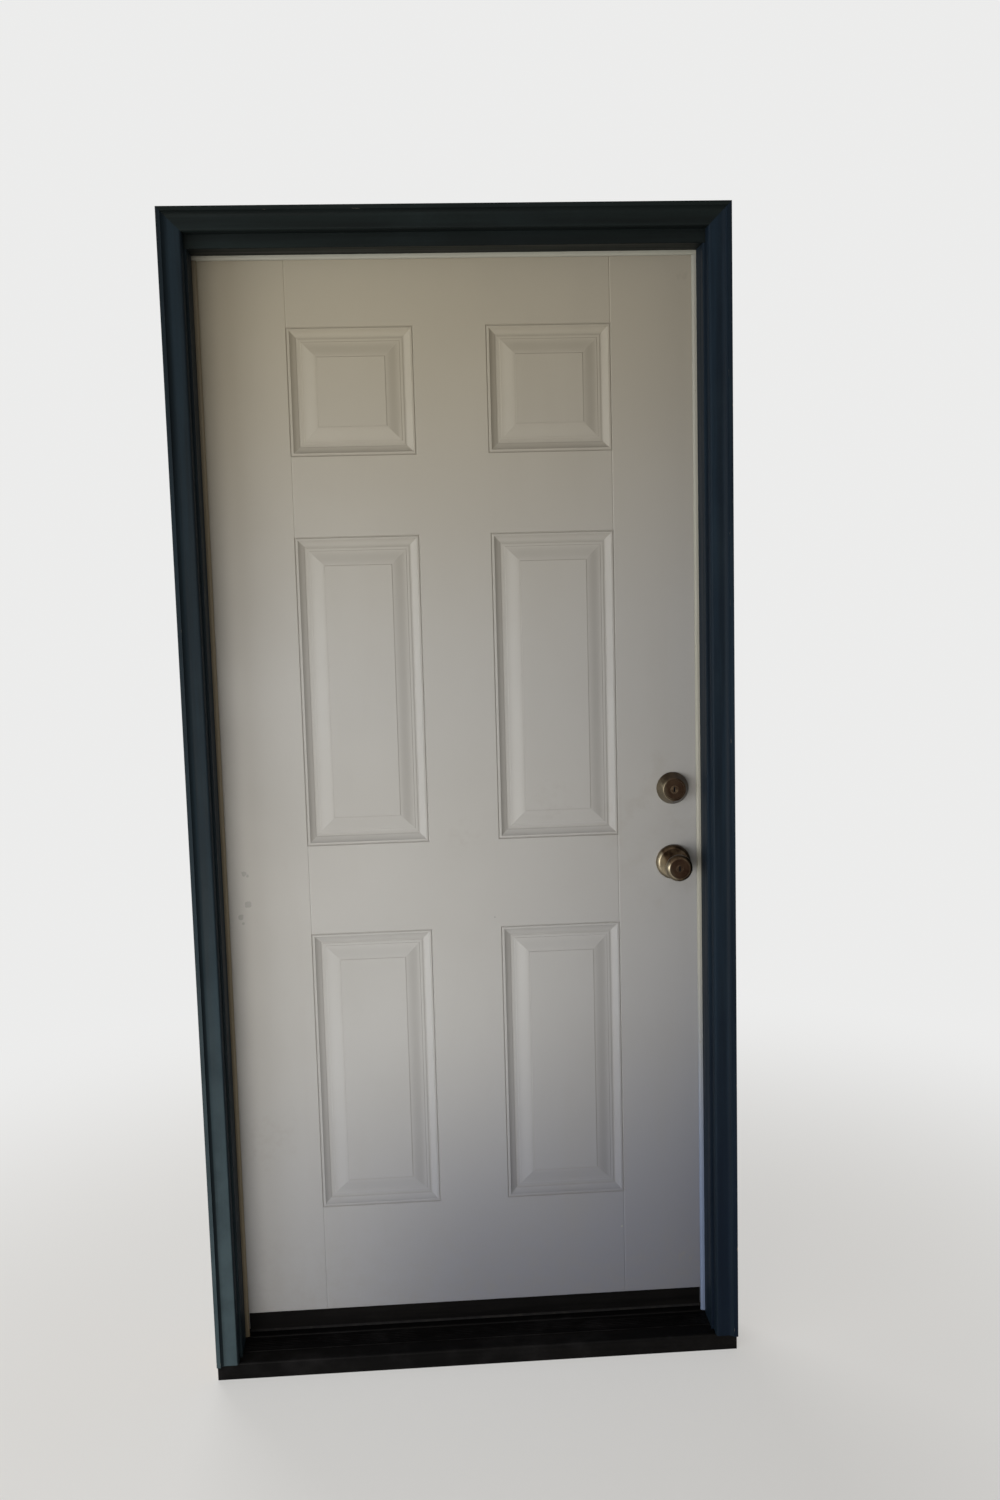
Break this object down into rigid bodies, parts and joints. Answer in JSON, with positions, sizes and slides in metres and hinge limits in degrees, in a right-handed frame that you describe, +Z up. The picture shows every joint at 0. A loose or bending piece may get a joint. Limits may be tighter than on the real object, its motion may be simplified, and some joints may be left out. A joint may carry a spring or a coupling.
{
  "type": "panelled front door",
  "caption": "Inward-opening panelled front door hung in its rabbeted frame, with casing, weatherstrip, sill, butt hinges, keyed knob set and keyed deadbolt.",
  "frame": {"origin": "on the sill's underside, half way along it", "axes": "+X to the right seen from outside, towards the locks; +Y into the house; +Z up"},
  "size_m": [0.9746, 0.2257, 2.095],
  "materials": {
    "frame_paint": "dark teal paint, worn",
    "raw_wood": "bare",
    "dark_metal": "dark bronze, dusty",
    "sill_cap_plastic": "matt",
    "white_strip": "matt",
    "black_rubber": "matt",
    "door_paint": "off-white paint, slightly soiled",
    "core_foam": "foam",
    "hinge_metal": "satin, yellowed",
    "screw_metal": "satin",
    "aged_brass": "aged, worn",
    "lock_steel": "plated"
  },
  "bodies": {
    "frame": {"hinge_jamb": "frame_paint", "strike_jamb": "frame_paint", "head_jamb": "frame_paint", "hinge_casing": "frame_paint", "strike_casing": "frame_paint", "head_casing": "frame_paint", "sill_base": "raw_wood", "sill_tread": "dark_metal", "sill_cap": "sill_cap_plastic", "sill_cap_screws": "screw_metal", "hinge_weatherstrip": "white_strip", "strike_weatherstrip": "white_strip", "head_weatherstrip": "white_strip", "corner_pads": "black_rubber", "jamb_leaf_top": "hinge_metal", "jamb_leaf_middle": "hinge_metal", "jamb_leaf_bottom": "hinge_metal", "hinge_pins": "hinge_metal", "jamb_hinge_screws": "screw_metal", "latch_strike": "aged_brass", "deadbolt_strike": "aged_brass", "strike_screws": "screw_metal"},
    "door": {"outer_skin": "door_paint", "inner_skin": "door_paint", "hinge_stile": "raw_wood", "lock_stile": "raw_wood", "top_rail": "raw_wood", "bottom_rail": "raw_wood", "lock_block": "raw_wood", "foam_core": "core_foam", "door_shoe": "dark_metal", "shoe_fins": "black_rubber", "door_leaf_top": "hinge_metal", "door_leaf_middle": "hinge_metal", "door_leaf_bottom": "hinge_metal", "door_hinge_screws": "screw_metal", "latch_case": "lock_steel", "latch_faceplate": "aged_brass", "deadbolt_case": "lock_steel", "deadbolt_faceplate": "aged_brass", "faceplate_screws": "screw_metal", "outer_rose": "aged_brass", "inner_rose": "aged_brass", "knob_screws": "screw_metal", "deadbolt_housing": "aged_brass", "deadbolt_cylinder": "aged_brass", "deadbolt_plate": "aged_brass", "deadbolt_screws": "screw_metal"},
    "knobs": {"outer_knob": "aged_brass", "inner_knob": "aged_brass", "knob_spindle": "lock_steel", "latch_cam": "lock_steel"},
    "latch": {"latch_bolt": "aged_brass"},
    "key_plug": {"knob_plug": "aged_brass"},
    "button": {"turn_button": "aged_brass"},
    "deadbolt_turn": {"thumb_turn": "aged_brass", "deadbolt_plug": "aged_brass", "deadbolt_tailpiece": "lock_steel", "deadbolt_cam": "lock_steel"},
    "deadbolt": {"deadbolt_bolt": "aged_brass"}
  },
  "joints": [
    {"name": "door_swing", "type": "hinge", "parent": "frame", "child": "door", "pos_m": [-0.45385, 0.07845, 0], "axis": [0, 0, 1], "range_deg": [0, 110]},
    {"name": "knob_turn", "type": "hinge", "parent": "door", "child": "knobs", "pos_m": [0.39195, 0.04922, 0.927], "axis": [0, 1, 0], "range_deg": [0, 54], "stiffness_Nm_per_rad": 0.25, "springref_deg": -11.46},
    {"name": "latch_slide", "type": "slide", "parent": "door", "child": "latch", "axis": [-1, 0, 0], "range_m": [0, 0.0128]},
    {"name": "key_turn", "type": "hinge", "parent": "knobs", "child": "key_plug", "pos_m": [0.39195, 0.04922, 0.927], "axis": [0, 1, 0], "range_deg": [0, 90]},
    {"name": "button_turn", "type": "hinge", "parent": "knobs", "child": "button", "pos_m": [0.39195, 0.04922, 0.927], "axis": [0, 1, 0], "range_deg": [0, 90]},
    {"name": "deadbolt_thumb", "type": "hinge", "parent": "door", "child": "deadbolt_turn", "pos_m": [0.39195, 0.04922, 1.0667], "axis": [0, -1, 0], "range_deg": [0, 90]},
    {"name": "deadbolt_slide", "type": "slide", "parent": "door", "child": "deadbolt", "axis": [1, 0, 0], "range_m": [0, 0.0241]}
  ],
  "couplings": [
    {"joint": "latch_slide", "follows": "knob_turn", "m_per_rad": 0.013486},
    {"joint": "deadbolt_slide", "follows": "deadbolt_thumb", "m_per_rad": 0.015304}
  ]
}
